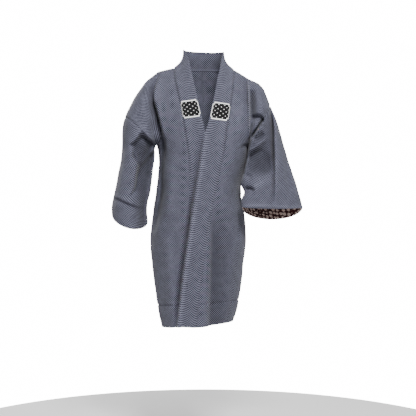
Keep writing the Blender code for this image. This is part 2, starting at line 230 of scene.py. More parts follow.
# The fold where each sleeve side leaves the body
ARMHOLE_FRONT_RIGHT = named(
    Point,
    (-156, 5, -16),
    (-165, -38, -56),
    (-171, -58, -102),
    (-165, -64, -142),
    (-151, -68, -178),
    (-142, -66, -218),
    (-143, -46, -250),
    (-158, 5, -270),
)
ARMHOLE_BACK_RIGHT = named(
    Point,
    (-158, 5, -270),
    (-152, 42, -252),
    (-154, 64, -215),
    (-160, 72, -172),
    (-166, 70, -132),
    (-168, 60, -90),
    (-164, 40, -52),
    (-156, 5, -16),
)
ARMHOLE_FRONT_LEFT = named(
    Point,
    (152, 5, -41),
    (152, -38, -82),
    (152, -57, -128),
    (151, -66, -176),
    (150, -65, -222),
    (149, -46, -254),
    (149, 5, -273),
)
ARMHOLE_BACK_LEFT = named(
    Point,
    (149, 5, -273),
    (148, 42, -255),
    (151, 64, -222),
    (156, 72, -180),
    (160, 70, -140),
    (160, 58, -100),
    (157, 38, -66),
    (152, 5, -41),
)

# Rings along each arm, from the armhole to the cuff
ARM_RIGHT = named(
    Ring,
    (-193, 4, -47, -160, 2, -264, 80, 78, 0, 0),
    (-216, 2, -76, -163, 0, -264, 88, 84, 0, 0),
    (-240, 0, -115, -165, -2, -270, 91, 87, 0, 0),
    (-267, -3, -178, -166, -4, -280, 92, 88, -18, 0),
    (-274, -4, -219, -167, -6, -300, 92, 88, -8, 0),
    (-275, -6, -264, -169, -9, -325, 91, 88, 0, 0),
    (-278, -10, -308, -173, -13, -355, 91, 88, 0, 0),
    (-288, -15, -362, -178, -18, -396, 91, 88, 6, 2),
    (-297, -20, -413, -184, -24, -433, 92, 88, 14, 3),
    (-304, -24, -443, -190, -28, -458, 92, 88, 22, 4),
    (-308, -27, -470, -192, -31, -488, 92, 88, 29, 5),
    (-307, -30, -492, -189, -34, -525, 92, 88, 34, 5),
)
ARM_LEFT = named(
    Ring,
    (176, 4, -52, 149.5, -3, -267, 78, 78, 0, 0),
    (196, 4, -69, 148, -16, -271, 84, 79, 0, 0),
    (211, 3, -101, 146, -30, -290, 86, 76, 0, 0),
    (223, 2, -132, 142, -39, -312, 85, 76, 0, 0),
    (240, 0, -172, 137, -50, -338, 82, 74, 0, 0),
    (257, -2, -223, 130, -61, -366, 77, 70, 0, 2),
    (273, -5, -278, 122, -75, -395, 71, 66, 0, 6),
    (290, -10, -335, 133, -88, -424, 64, 60, 1, 14),
    (308, -16, -396, 124, -100, -446, 56, 53, 2, 24),
    (321, -21, -440, 122, -108, -460, 49, 48, 4, 34),
    (330, -25, -475, 124, -115, -473, 43, 43, 5, 41),
)
SLEEVE_SEAM_RING = 4

# Folds and creases. Each runs along a line of x, z points seen from the front, reaches so
# far to the left and to the right of its own direction, and goes in by its depth, or
# stands out where the depth is positive. The cloth on its left leans so far over it.
Crease = namedtuple("Crease", "left right depth path lean", defaults=(0,))
FRONT_CREASES = named(
    Crease,
    # the deep fold of the right armhole: the body's cloth stands over the dark side of it
    (14, 4, 4, ((-147, -34), (-157, -54), (-164, -81), (-166, -107), (-163, -127), (-153, -153),
        (-146, -180), (-140, -206), (-133, -232), (-128, -262)), 2),
    (4, 14, -26, ((-151, -18), (-155, -38), (-160, -58), (-167, -81), (-169, -107), (-167, -127),
        (-158, -153), (-151, -180), (-145, -206), (-138, -232), (-132, -259), (-129, -300))),
    (8, 26, -10, ((-168, -120), (-160, -160), (-152, -195), (-146, -225))),
    (7, 11, -24, ((-131, -240), (-137, -300), (-141, -350), (-143, -416), (-152, -480),
        (-164, -560))),
    (14, 8, -10, ((-132, -380), (-140, -450), (-150, -540))),
    (20, 12, 4, ((-106, -290), (-110, -400), (-122, -520))),
    # the droop of the upper sleeve over the hollow of the right elbow
    (16, 5, 6, ((-252, -266), (-238, -260), (-222, -248), (-211, -228), (-202, -222), (-188, -234),
        (-171, -249), (-152, -259)), 2),
    (5, 26, -28, ((-246, -274), (-232, -268), (-215, -252), (-204, -238), (-188, -250),
        (-172, -263), (-154, -272))),
    (22, 34, -30, ((-236, -286), (-206, -290), (-164, -288))),
    # the side of the right sleeve that is turned to the body and lies in its shade
    (60, 26, -52, ((-222, -352), (-204, -358), (-182, -360), (-158, -356))),
    (34, 5, -26, ((-214, -290), (-214, -343), (-222, -390), (-230, -432))),
    (26, 26, -32, ((-196, -380), (-196, -450), (-194, -520), (-192, -620))),
    (12, 3, -26, ((-150, -262), (-174, -298), (-192, -323), (-212, -352))),
    (3, 8, 10, ((-166, -276), (-180, -294), (-198, -318), (-212, -340))),
    (5, 4, -14, ((-236, -296), (-222, -322), (-208, -345))),
    # the long fold down the right forearm
    (9, 3, 6, ((-244, -440), (-236, -428), (-229, -412), (-225, -384), (-222, -345)), 2),
    (7, 4, -11, ((-219, -343), (-222, -384), (-226, -411), (-235, -430), (-243, -442))),
    (10, 12, -4, ((-286, -300), (-292, -360), (-297, -420))),
    (12, 12, 3, ((-262, -280), (-268, -350), (-276, -425))),
    # the top of the right cuff, which stands over the part below it
    (14, 3, 4, ((-307, -436), (-277, -443), (-247, -457), (-221, -468), (-190, -472)), 2),
    (3, 12, -8, ((-308, -443), (-277, -450), (-247, -464), (-221, -475), (-190, -479))),
    # the left armhole fold, beside the bright edge of the body
    (3, 3, 20, ((149, -250), (149, -180), (149, -120), (149, -82), (147, -40))),
    (4, 7, -11, ((142, -36), (141, -70), (142, -110), (143, -150))),
    (13, 4, -24, ((154, -80), (156, -130), (158, -190))),
    # the folded corner on the left upper arm and the folds that slant in under it
    (12, 4, 5, ((150, -168), (172, -164), (188, -166), (199, -182)), 2),
    (4, 16, -16, ((156, -176), (174, -175), (187, -176), (198, -190))),
    (3, 4, -38, ((200, -178), (176, -214), (148, -256))),
    (9, 3, 7, ((205, -186), (184, -218), (162, -252)), 2),
    (8, 16, -18, ((200, -232), (184, -244), (164, -256))),
    (4, 4, 12, ((203, -252), (182, -268), (160, -284), (146, -290)), 2),
    (14, 6, -16, ((196, -282), (176, -294), (158, -304), (142, -312))),
    # the shaded cloth on the inner side of the left sleeve, turned down and to the body
    (70, 30, -42, ((138, -338), (168, -342), (200, -344), (226, -340))),
    # the long upright fold down the left sleeve
    (4, 6, -18, ((217, -100), (221, -130), (225, -165), (229, -205), (230, -252), (230, -318),
        (230, -368), (229, -410), (224, -480))),
    (5, 44, -26, ((224, -150), (226, -175), (228, -205), (229, -252), (229, -318), (228, -362))),
    (10, 4, 6, ((223, -110), (229, -165), (233, -205), (234, -252), (234, -318), (234, -368),
        (233, -410), (229, -480)), 2),
    # the pale rim of the left sleeve's hem
    (5, 5, 5, ((110, -471), (170, -471), (240, -473), (345, -476))),
    (16, 13, 5, ((222, -372), (194, -388), (170, -410), (164, -436))),
    (8, 9, -12, ((128, -362), (140, -368), (158, -376))),
    (7, 8, -16, ((136, -418), (148, -414), (164, -424))),
    (9, 9, -4, ((262, -240), (272, -330), (284, -420))),
    (12, 12, 3, ((288, -300), (298, -380), (306, -440))),
    # slack on the chest and shoulders
    (5, 4, -5, ((106, -287), (124, -278), (142, -266))),
    (9, 9, 3, ((100, -276), (122, -268), (140, -256))),
    (16, 14, -3, ((-96, -130), (-98, -190), (-88, -250))),
    (14, 14, 3, ((112, -120), (118, -180), (112, -240))),
    # the shadowed step beside the free edge of the left front, over the right one
    (2.5, 7, -24, ((0, -210), (-11, -288), (-34, -438), (-57, -584), (-77, -727), (-97, -920))),
    (5, 3, 14, ((8, -210), (-1, -288), (-24, -438), (-46, -584), (-66, -727), (-86, -920))),
    # soft flutes down the skirt
    (6, 24, 3, ((21, -560), (20, -660), (17, -770), (14, -866))),
    (80, 13, -32, ((33, -480), (30, -660), (26, -770), (21, -980))),
    (20, 22, 4, ((92, -560), (88, -660), (78, -760), (70, -862))),
    (18, 18, -3, ((118, -600), (112, -690), (98, -790), (88, -860))),
    (22, 20, 4, ((-118, -560), (-112, -660), (-104, -760), (-98, -866))),
    (16, 18, -4, ((-146, -560), (-142, -650), (-128, -760), (-120, -868))),
    (14, 16, -3, ((-84, -600), (-80, -700), (-80, -800))),
)
BACK_CREASES = named(
    Crease,
    # the armhole folds and the slack under the shoulder blades
    (10, 12, -16, ((-160, -40), (-166, -90), (-164, -150), (-154, -200), (-148, -246))),
    (12, 10, -16, ((154, -60), (160, -100), (160, -150), (154, -205), (148, -250))),
    (18, 16, -11, ((-120, -180), (-124, -280), (-122, -390), (-130, -520))),
    (16, 18, -11, ((108, -190), (104, -290), (98, -400), (104, -500))),
    (20, 20, 6, ((-72, -120), (-76, -240), (-70, -330), (-78, -430))),
    (20, 20, 6, ((62, -130), (58, -240), (66, -330), (60, -430))),
    (9, 9, -8, ((-130, -262), (-104, -300), (-92, -340))),
    (9, 9, -8, ((128, -262), (104, -306), (90, -350))),
    (8, 10, -5, ((-40, -40), (-64, -84), (-96, -120))),
    (10, 8, -5, ((36, -44), (60, -90), (92, -124))),
    # the elbows
    (4, 24, -11, ((-250, -262), (-222, -276), (-192, -274), (-164, -282))),
    (12, 5, 5, ((-250, -252), (-222, -264), (-192, -262), (-164, -270))),
    (10, 14, -8, ((-222, -330), (-236, -390), (-250, -462))),
    (5, 22, -10, ((164, -296), (190, -268), (216, -252), (240, -250))),
    (12, 5, 5, ((162, -284), (188, -256), (214, -240), (238, -238))),
    (14, 12, -7, ((246, -260), (256, -330), (262, -400), (260, -450))),
    (12, 12, -5, ((204, -300), (196, -350), (176, -400))),
    (14, 12, 4, ((288, -320), (298, -400), (304, -450))),
    (16, 4, 3, ((-308, -440), (-270, -448), (-230, -452), (-188, -450))),
    (4, 28, -5, ((-308, -447), (-270, -455), (-230, -459), (-188, -457))),
    # flutes down the skirt
    (22, 22, -11, ((-70, -560), (-74, -660), (-66, -760), (-62, -862))),
    (22, 22, -11, ((36, -540), (30, -650), (34, -760), (28, -860))),
    (20, 20, 4, ((-112, -580), (-108, -700), (-96, -858))),
    (20, 20, 4, ((84, -560), (82, -690), (70, -856))),
    (18, 20, 3, ((-18, -520), (-24, -660), (-20, -860))),
)


def running(line):
    """Running length along a line of points."""
    steps = np.linalg.norm(np.diff(line, axis=0), axis=1)
    return np.concatenate(([0.0], np.cumsum(steps)))


def knots_of(rows):
    """Running length of a table's first three columns, which spaces its smooth curve."""
    return running(np.array([row[:3] for row in rows], float))


def through(rows, knots, at):
    """Smooth curve through rows that lie at their knots, read at the lengths given."""
    rows = np.asarray(rows, float)
    at = np.asarray(at, float)
    steps = np.diff(knots)
    shape = (-1,) + (1,) * (rows.ndim - 1)
    slopes = np.diff(rows, axis=0) / steps.reshape(shape)
    before, after = steps[:-1].reshape(shape), steps[1:].reshape(shape)
    tangents = np.empty_like(rows)
    tangents[1:-1] = (slopes[:-1] * after + slopes[1:] * before) / (before + after)
    tangents[0], tangents[-1] = slopes[0], slopes[-1]
    span = np.clip(np.searchsorted(knots, at, side="right") - 1, 0, len(steps) - 1)
    length = steps[span].reshape(shape)
    s = ((at - knots[span]) / steps[span]).reshape(shape)
    return (
        rows[span] * (2 * s**3 - 3 * s**2 + 1)
        + tangents[span] * length * (s**3 - 2 * s**2 + s)
        + rows[span + 1] * (3 * s**2 - 2 * s**3)
        + tangents[span + 1] * length * (s**3 - s**2)
    )


def along(rows, count):
    """Evenly spaced points on the smooth curve through a table of points."""
    knots = knots_of(rows)
    return through(rows, knots, np.linspace(0, knots[-1], count + 1))


def band_stations(table):
    """The band's stations: round the neck, down the yoke, and down the skirt."""
    knots = knots_of(table)
    neck = knots[NECK_POINT]
    front = slice(NECK_POINT, None)
    heights = [-row.seam_z for row in table[front]]
    underarm = np.interp(-UNDERARM, heights, knots[front])
    at = np.concatenate(
        (
            np.linspace(0, neck, NECK_ROWS + 1),
            np.linspace(neck, underarm, YOKE_ROWS + 1)[1:],
            np.linspace(underarm, knots[-1], SKIRT_ROWS + 1)[1:],
        )
    )
    return through(table, knots, at)


def band_grid(stations, side):
    """Points across the band at each station, from its sewn side to its free edge."""
    seam, edge, curl = stations[:, :3], stations[:, 3:6], stations[:, 6]
    course = np.gradient(seam, axis=0)
    course[0] = (side, 0.0, 0.0)
    outward = np.cross(course, edge - seam) * -side
    outward /= np.linalg.norm(outward, axis=1)[:, None]
    across = 0.5 - 0.5 * np.cos(pi * np.arange(BAND_COLUMNS + 1) / BAND_COLUMNS)
    across = across[None, :, None]
    bulge = (outward * curl[:, None])[:, None, :] * 4 * across * (1 - across)
    return seam[:, None, :] + (edge - seam)[:, None, :] * across - bulge


def panel_grid(starts, ends):
    """Rows that leave the front or back flat and turn towards the side of the body."""
    t = np.linspace(0, 1, PANEL_COLUMNS + 1)
    t = EVENNESS * t + (1 - EVENNESS) * t**2
    out = np.sin(PANEL_TURN * t) / sin(PANEL_TURN)
    deep = (1 - np.cos(PANEL_TURN * t)) / (1 - cos(PANEL_TURN))
    share = np.stack((out, deep, out), axis=1)
    return starts[:, None, :] + (ends - starts)[:, None, :] * share[None, :, :]


def ring_points(ring):
    """Points round one ring of an arm: top, front, underside and back."""
    outer = np.array(ring[:3], float)
    inner = np.array(ring[3:6], float)
    turn = pi * np.arange(2 * YOKE_ROWS) / YOKE_ROWS
    lift = np.sin(turn)
    reach = np.where(lift > 0, ring.front, ring.back)
    drop = ring.front_drop * np.clip(lift, 0, None) + ring.back_drop * np.clip(-lift, 0, None)
    points = (outer + inner) / 2 + (outer - inner) / 2 * np.cos(turn)[:, None]
    points[:, 1] -= reach * lift
    points[:, 2] -= drop
    return points


def arm_grid(front, back, table):
    """Rings of the upper arm and the sleeve, each from its underside round and back to it."""
    armhole = np.concatenate((along(front, YOKE_ROWS)[:-1], along(back, YOKE_ROWS)[:-1]))
    rings = np.array([armhole] + [ring_points(ring) for ring in table])
    steps = np.linalg.norm(np.diff(rings, axis=0), axis=2).mean(axis=1)
    knots = np.concatenate(([0.0], np.cumsum(steps)))
    seam = knots[SLEEVE_SEAM_RING]
    at = np.concatenate(
        (
            np.linspace(0, seam, UPPER_ARM_ROWS + 1),
            np.linspace(seam, knots[-1], SLEEVE_ROWS + 1)[1:],
        )
    )
    grid = through(rings, knots, at)
    grid[0] = armhole
    return np.roll(grid, -YOKE_ROWS, axis=1)


def lengths(grid, axis):
    """Running length of cloth along one direction of a grid of points."""
    steps = np.linalg.norm(np.diff(grid, axis=axis), axis=2)
    pad = [(0, 0), (0, 0)]
    pad[axis] = (1, 0)
    return np.pad(np.cumsum(steps, axis=axis), pad)


def band_measure(grid):
    """Places in the flat cloth of the band: across each row, and along from it."""
    across = lengths(grid, 1)
    down = np.linalg.norm(np.diff(grid, axis=0), axis=2)
    aslant = np.diff(across, axis=0)
    straight = np.sqrt(np.clip(down**2 - aslant**2, 0, None))
    return np.stack((across, np.pad(np.cumsum(straight, axis=0), ((1, 0), (0, 0)))), axis=2)


def tube_measure(grid):
    """Places in the flat cloth of a tube, from the fold along its outer side."""
    across = lengths(grid, 1)
    across = across - across[:, YOKE_ROWS : YOKE_ROWS + 1]
    fold = grid[:, YOKE_ROWS]
    grain = np.gradient(fold, axis=0)
    grain /= np.linalg.norm(grain, axis=1)[:, None]
    down = lengths(grid, 0)[:, YOKE_ROWS]
    spread = 2 * SLANT_SPREAD + 1
    slants = []
    for side in (YOKE_ROWS - SLANT_REACH, YOKE_ROWS + SLANT_REACH):
        aside = grid[:, side] - fold
        slant = (aside * grain).sum(axis=1) / np.linalg.norm(aside, axis=1)
        slant = np.pad(slant, SLANT_SPREAD, mode="edge")
        slants.append(np.convolve(slant, np.full(spread, 1 / spread), "valid"))
    slant = np.where(across < 0, slants[0][:, None], slants[1][:, None])
    return np.stack((across * np.sqrt(1 - slant**2), down[:, None] + np.abs(across) * slant), axis=2)


def hanging_measure(grid):
    """Places in the flat cloth of a body length, whose grain runs down across its width."""
    level = grid.copy()
    level[:, :, 2] = 0
    outward = np.sign(grid[0, -1, 0])
    across = outward * grid[:, :1, 0] + lengths(level, 1)
    down = np.gradient(grid, axis=0)
    facing = np.cross(np.gradient(grid, axis=1), down)
    facing /= np.linalg.norm(facing, axis=2)[:, :, None]
    grain = np.cross(facing, (1.0, 0.0, 0.0))
    falling = (0.0, np.sign(grid[:, :, 1].mean()), -1.0)
    grain *= np.sign((grain * falling).sum(axis=2))[:, :, None]
    grain[:, :, 2] -= 2 * np.abs(facing[:, :, 0])
    grain /= np.linalg.norm(grain, axis=2)[:, :, None]
    steps = (np.diff(grid, axis=0) * (grain[1:] + grain[:-1]) / 2).sum(axis=2)
    fallen = np.pad(np.cumsum(steps, axis=0), ((1, 0), (0, 0)))
    for j in range(grid.shape[1]):
        fallen[:, j] -= np.interp(-GRAIN_LEVEL, -grid[:, j, 2], fallen[:, j])
    return np.stack((across, fallen), axis=2)


Panel = namedtuple("Panel", "piece numbers flip closed measure")


class Coat:
    """All the cloth as grids that share their points where they are sewn or folded."""

    def __init__(self):
        self.points = []
        self.index = {}
        self.panels = []

    def add(self, piece, grid, flip, closed=False, hanging=False):
        """Adds a panel of cloth from its grid of points, numbering each point once."""
        numbers = np.empty(grid.shape[:2], int)
        for place in np.ndindex(numbers.shape):
            key = tuple(np.round(grid[place], 3).tolist())
            if key not in self.index:
                self.index[key] = len(self.points)
                self.points.append(grid[place])
            numbers[place] = self.index[key]
        if closed:
            numbers = np.concatenate((numbers, numbers[:, :1]), axis=1)
            grid = np.concatenate((grid, grid[:, :1]), axis=1)
        laid = hanging_measure if hanging else tube_measure if closed else band_measure
        self.panels.append(Panel(piece, numbers, flip, closed, laid(grid)))

    def normals(self, points):
        """Normals shared by all the faces that meet at a point."""
        total = np.zeros_like(points)
        for panel in self.panels:
            n = panel.numbers
            corners = n[:-1, :-1], n[:-1, 1:], n[1:, 1:], n[1:, :-1]
            a, b, c, d = (points[corner] for corner in corners)
            area = np.cross(c - a, d - b) * (-1 if panel.flip else 1)
            for corner in corners:
                np.add.at(total, corner.ravel(), area.reshape(-1, 3))
        return total / np.linalg.norm(total, axis=1)[:, None]

    def neighbours(self):
        """Pairs of points that lie next to each other along a row or a column."""
        pairs = []
        for panel in self.panels:
            n = panel.numbers
            pairs += [(n[:-1].ravel(), n[1:].ravel()), (n[:, :-1].ravel(), n[:, 1:].ravel())]
        first = np.concatenate([a for a, b in pairs])
        second = np.concatenate([b for a, b in pairs])
        return np.concatenate((first, second)), np.concatenate((second, first))


def crease_moves(points, creases):
    """How creases move points in x and z, and towards the viewer, seen from one side."""
    seen = points[:, [0, 2]]
    moves = np.zeros((len(points), 3))
    for crease in creases:
        path = np.array(crease.path, float)
        knots = running(path)
        line = through(path, knots, np.linspace(0, knots[-1], FOLD_STEPS + 1))
        reach = 3 * max(crease.left, crease.right)
        near = np.flatnonzero(
            ((seen > line.min(axis=0) - reach) & (seen < line.max(axis=0) + reach)).all(axis=1)
        )
        starts, runs = line[:-1], np.diff(line, axis=0)
        away = seen[near, None, :] - starts[None, :, :]
        share = np.clip((away * runs).sum(axis=2) / (runs**2).sum(axis=1), 0, 1)
        gaps = np.linalg.norm(away - runs * share[:, :, None], axis=2)
        first = gaps.argmin(axis=1)
        rows = np.arange(len(near))
        gap, arrow = gaps[rows, first], runs[first]
        arrow = arrow / np.linalg.norm(arrow, axis=1)[:, None]
        on_left = arrow[:, 0] * away[rows, first, 1] - arrow[:, 1] * away[rows, first, 0] > 0
        way = 2 * (first + share[rows, first]) / FOLD_STEPS - 1
        fade = (1 - way**4) * np.exp(-((gap / np.where(on_left, crease.left, crease.right)) ** 2))
        aside = np.where(on_left, fade * crease.lean, 0)
        moves[near, 0] += arrow[:, 1] * aside
        moves[near, 1] -= arrow[:, 0] * aside
        moves[near, 2] += crease.depth * fade
    return moves


def ripple(points):
    """Slight unevenness of worn cloth, a few tenths of a millimetre deep."""
    random = np.random.default_rng(7)
    total = np.zeros(len(points))
    for wavelength in (34, 41, 52, 63, 78, 96, 120):
        for _ in range(3):
            direction = random.normal(size=3) * (1.0, 1.0, 0.45)
            direction /= np.linalg.norm(direction)
            phase = random.uniform(0, 2 * pi)
            total += np.sin(points @ direction * 2 * pi / wavelength + phase) * wavelength / 460
    return total


def creased(coat, points, normals):
    """Moves points by the creases on the side they face, and says how far in they went."""
    facing = -normals[:, 1]
    moves = np.zeros_like(points)
    for creases, towards in ((FRONT_CREASES, 1), (BACK_CREASES, -1)):
        share = np.clip((facing * towards - FACING_START) / FACING_RISE, 0, 1)
        aside, up, out = crease_moves(points, creases).T * share
        moves += np.stack((aside, -towards * DEEPEST * np.tanh(out / DEEPEST), up), axis=1)
    ends, others = coat.neighbours()
    count = np.bincount(ends, minlength=len(points))[:, None]
    for _ in range(SOFTENING):
        total = np.zeros_like(points)
        np.add.at(total, ends, moves[others])
        moves = (1 - SOFTENED_SHARE) * moves + SOFTENED_SHARE * total / count
    inward = moves[:, 1] * np.sign(facing)
    return points + moves + normals * ripple(points)[:, None], inward


coat = Coat()


def add_side(side, name, table, side_seam, front, back, arm):
    """Lays out one half of the coat, with its half of the band."""
    stations = band_stations(table)
    seam = stations[:, :3]
    front_ends = np.concatenate((along(front, YOKE_ROWS), along(side_seam, SKIRT_ROWS)[1:]))
    centre = np.array(CENTRE_BACK, float)
    centre_knots = knots_of(CENTRE_BACK)
    underarm = np.interp(-UNDERARM, -centre[:, 2], centre_knots)
    down = np.concatenate(
        (
            np.linspace(0, underarm, YOKE_ROWS - NECK_ROWS + 1)[1:],
            np.linspace(underarm, centre_knots[-1], SKIRT_ROWS + 1)[1:],
        )
    )
    starts = np.concatenate((seam[NECK_ROWS::-1], through(centre, centre_knots, down)))
    back_ends = np.concatenate((along(back, YOKE_ROWS)[::-1], front_ends[YOKE_ROWS + 1 :]))
    arm_rings = arm_grid(front, back, arm)
    is_left = side == LEFT
    body, sleeve = name + "_body_length", name + "_sleeve_tube"
    coat.add(body, panel_grid(seam[NECK_ROWS:], front_ends), is_left, hanging=True)
    coat.add(body, panel_grid(starts, back_ends), not is_left, hanging=True)
    coat.add(body, arm_rings[: UPPER_ARM_ROWS + 1], not is_left, closed=True)
    coat.add(sleeve, arm_rings[UPPER_ARM_ROWS:], not is_left, closed=True)
    coat.add("front_band", band_grid(stations, side), not is_left)


def choose(*chosen):
    """Selects these pieces alone, and makes the first of them active."""
    bpy.ops.object.select_all(action="DESELECT")
    for piece in chosen:
        piece.select_set(True)
    bpy.context.view_layer.objects.active = chosen[0]


def grid_piece(name, points, measure, flip, inward=None):
    """A plane grid, bent to the points given, with its cloth measure as its UV map."""
    inward = np.zeros(points.shape[:2]) if inward is None else inward
    if flip:
        points, measure, inward = points[:, ::-1], measure[:, ::-1], inward[:, ::-1]
    rows, columns = points.shape[:2]
    bpy.ops.mesh.primitive_grid_add(x_subdivisions=columns - 1, y_subdivisions=rows - 1)
    piece = bpy.context.object
    piece.name = piece.data.name = name
    mesh = piece.data
    mesh.vertices.foreach_set("co", (points.reshape(-1, 3) * MM).astype(np.float32).ravel())
    corner = np.empty(len(mesh.loops), np.int32)
    mesh.loops.foreach_get("vertex_index", corner)
    flat = (measure.reshape(-1, 2) * MM).astype(np.float32)
    mesh.uv_layers.active.data.foreach_set("uv", flat[corner].ravel())
    # painted shade where a crease pushed the cloth in, painted highlight where it pushed it out,
    # kept on the points for the cotton's colour
    painted_shade_and_highlight = mesh.attributes.new("painted_shade_and_highlight", "FLOAT", "POINT")
    depth = np.clip(inward / PAINTED_SHADE_DEPTH, 0, 1) + np.clip(inward / PAINTED_HIGHLIGHT_HEIGHT, -1, 0)
    painted_shade_and_highlight.data.foreach_set("value", depth.ravel())
    mesh.update()
    return piece


def joined(name, parts):
    """One piece from its panels, with the points that they share made one."""
    choose(*parts)
    if len(parts) > 1:
        bpy.ops.object.join()
    piece = bpy.context.object
    piece.name = piece.data.name = name
    bpy.ops.object.mode_set(mode="EDIT")
    bpy.ops.mesh.select_all(action="SELECT")
    bpy.ops.mesh.remove_doubles(threshold=WELD)
    bpy.ops.object.mode_set(mode="OBJECT")
    return piece


def apply(piece, kind, **settings):
    """Adds a modifier with its settings to a piece and applies it."""
    choose(piece)
    modifier = piece.modifiers.new(kind.lower(), kind)
    for key, value in settings.items():
        setattr(modifier, key, value)
    bpy.ops.object.modifier_apply(modifier=modifier.name)


def finished(piece, material, node):
    """Smooths, colours and places a finished piece on its body."""
    choose(piece)
    bpy.ops.object.shade_smooth_by_angle(angle=radians(50))
    piece.data.materials.clear()
    piece.data.materials.append(material)
    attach(piece, "root")
    if node:
        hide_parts(node)


# Materials

def hex_colour(code):
    """A colour written as sRGB hex, in the linear values that shaders take."""
    parts = [int(code[i : i + 2], 16) / 255 for i in (1, 3, 5)]
    return [c / 12.92 if c <= 0.04045 else ((c + 0.055) / 1.055) ** 2.4 for c in parts] + [1]


def add_node(tree, kind, inputs=(), **settings):
    """Adds a shader node with its settings, its fixed inputs and the sockets linked to it."""
    node = tree.nodes.new("ShaderNode" + kind)
    for key, value in settings.items():
        setattr(node, key, value)
    for key, value in dict(inputs).items():
        if isinstance(value, bpy.types.NodeSocket):
            tree.links.new(value, node.inputs[key])
        else:
            node.inputs[key].default_value = value
    return node


def maths(tree, operation, first, second=0.0, **settings):
    """The outcome of an operation on one or two values."""
    inputs = {0: first, 1: second}
    return add_node(tree, "Math", inputs, operation=operation, **settings).outputs[0]


def mapped(tree, value, start, end, low=0.0, high=1.0, **settings):
    """A value brought from the range start to end into the range low to high."""
    inputs = {0: value, 1: start, 2: end, 3: low, 4: high}
    return add_node(tree, "MapRange", inputs, **settings).outputs[0]


def mixed(tree, share, first, second, **settings):
    """The colour that lies so far from the first to the second."""
    inputs = {0: share, 6: first, 7: second}
    return add_node(tree, "Mix", inputs, data_type="RGBA", **settings).outputs[2]


def dress(tree, shader, colour, height, strength, distance):
    """Gives a cloth's shader its colour, and its relief from a height."""
    bump = add_node(tree, "Bump",
                    {"Strength": strength, "Distance": distance, "Height": height})
    tree.links.new(colour, shader.inputs["Base Color"])
    tree.links.new(bump.outputs[0], shader.inputs["Normal"])


def new_material(name, roughness, sheen=0.0):
    """An empty cloth material, and its tree and shader."""
    material = bpy.data.materials.new(name)
    material.use_nodes = True
    shader = material.node_tree.nodes["Principled BSDF"]
    shader.inputs["Roughness"].default_value = roughness
    shader.inputs["Sheen Weight"].default_value = sheen
    shader.inputs["Specular IOR Level"].default_value = 0.25
    return material, material.node_tree, shader


def checked_cotton():
    """Yarn-dyed cotton in small navy and white squares: a fine, dry, matt check."""
    material, tree, shader = new_material("yarn_dyed_checked_cotton", 0.88, 0.1)
    cloth = add_node(tree, "TexCoord").outputs["UV"]
    parts = add_node(tree, "SeparateXYZ", {0: cloth})
    # the squares are about 2 mm wide on the cloth, drawn at 3.7 mm so that they show
    waves = [maths(tree, "COSINE", maths(tree, "MULTIPLY", parts.outputs[axis], pi / SQUARE))
             for axis in (0, 1)]
    squares = mapped(tree, maths(tree, "MULTIPLY", *waves), -0.16, 0.16)
    # each yarn is a little thicker or thinner along its length, and than its neighbours
    slubs = []
    for scale in ((300, 24, 1), (24, 300, 1)):
        course = add_node(tree, "Mapping", {"Vector": cloth, "Scale": scale})
        thick = add_node(tree, "TexNoise", {"Vector": course.outputs[0], "Detail": 2.0})
        slubs.append(thick.outputs[0])
    uneven = mapped(tree, maths(tree, "ADD", *slubs), 0.7, 1.3, -0.22, 0.22)
    half = maths(tree, "ADD", squares, uneven, use_clamp=True)
    colour = mixed(tree, half, hex_colour("#0a0d19"), hex_colour("#6e6f80"))
    # washing leaves it faintly clouded; its folds are painted darker as shade, and raised cloth
    # painted paler as highlight
    cloud = add_node(tree, "TexNoise", {"Vector": cloth, "Scale": 38.0, "Detail": 2.0})
    worn = mapped(tree, cloud.outputs[0], 0.3, 0.7, 0.88, 1.12)
    painted_shade_and_highlight = add_node(tree, "Attribute", attribute_name="painted_shade_and_highlight").outputs["Fac"]
    painted_shade = mapped(tree, painted_shade_and_highlight, 0.0, 1.0, 1.0, 0.5, interpolation_type="SMOOTHERSTEP")
    painted_highlight = mapped(tree, painted_shade_and_highlight, -1.0, 0.0, 1.5, 1.0)
    # the random wear of the cloth, times the painted shade in folds and the painted highlight on
    # raised cloth
    dyed = maths(tree, "MULTIPLY", maths(tree, "MULTIPLY", worn, painted_shade), painted_highlight)
    colour_with_painted_light = mixed(tree, 1.0, colour, dyed, blend_type="MULTIPLY")
    # threads 0.5 mm apart, drawn at 1.1 mm
    weave = add_node(tree, "TexWave",
                     {"Vector": cloth, "Scale": 290.0, "Distortion": 1.5},
                     wave_type="BANDS", bands_direction="DIAGONAL")
    dress(tree, shader, colour_with_painted_light, maths(tree, "ADD", weave.outputs[1], half), 0.3, 0.0004)
    return material


def printed_lining():
    """Plain-woven cotton printed with a pale spotted pattern on dark wine red."""
    material, tree, shader = new_material("printed_lining_cotton", 0.82, 0.1)
    cloth = add_node(tree, "TexCoord").outputs["UV"]
    # pale blossoms about 8 mm across, 15 mm apart
    cells = add_node(tree, "TexVoronoi",
                     {"Vector": cloth, "Scale": 78.0, "Randomness": 0.5}, feature="F1")
    edge = add_node(tree, "TexNoise", {"Vector": cloth, "Scale": 330.0})
    rough = maths(tree, "MULTIPLY", edge.outputs[0], 0.22)
    ragged = maths(tree, "ADD", cells.outputs[0], rough)
    petal = mapped(tree, ragged, 0.54, 0.6, 1.0, 0.0)
    colour = mixed(tree, petal, hex_colour("#3a1218"), hex_colour("#d3beb6"))
    weave = add_node(tree, "TexWave", {"Vector": cloth, "Scale": 400.0})
    dress(tree, shader, colour, weave.outputs[1], 0.15, 0.0003)
    return material


